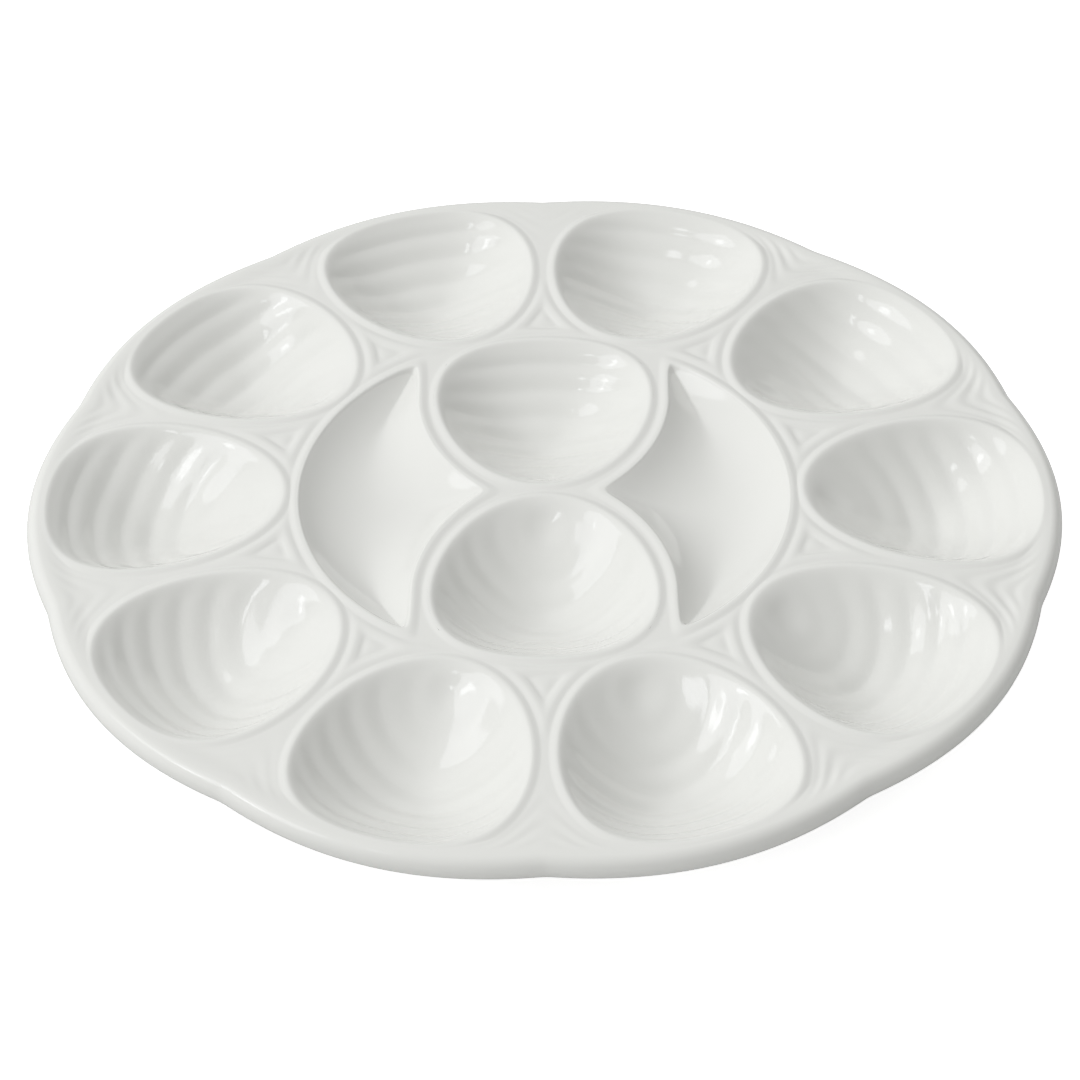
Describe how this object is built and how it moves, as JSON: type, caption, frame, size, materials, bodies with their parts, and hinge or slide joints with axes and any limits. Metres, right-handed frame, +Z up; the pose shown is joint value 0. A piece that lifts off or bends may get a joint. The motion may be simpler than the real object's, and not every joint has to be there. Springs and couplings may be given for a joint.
{
  "type": "oyster plate",
  "caption": "Round scalloped serving plate with egg-shaped wells for oysters round a middle of two more wells and two crescent wells for sauce, on a foot ring",
  "frame": {"origin": "middle of the plate's footprint, on the plane that it stands on", "axes": "+Z is up, +Y points to the back of the plate with one centre well on each side of the X axis, +X points to well 01 on the right"},
  "size_m": [0.36, 0.3544, 0.0295],
  "materials": {
    "glaze": "clear gloss glaze over white porcelain",
    "bare_body": "unglazed porcelain, matt and fine-grained"
  },
  "bodies": {
    "root": {"deck": "glaze", "rim": "glaze", "foot_ring": "bare_body", "centre_well_back": "glaze", "centre_well_front": "glaze", "sauce_well_left": "glaze", "sauce_well_right": "glaze", "oyster_well_01": "glaze", "oyster_well_02": "glaze", "oyster_well_03": "glaze", "oyster_well_04": "glaze", "oyster_well_05": "glaze", "oyster_well_06": "glaze", "oyster_well_07": "glaze", "oyster_well_08": "glaze", "oyster_well_09": "glaze", "oyster_well_10": "glaze"}
  },
  "joints": []
}
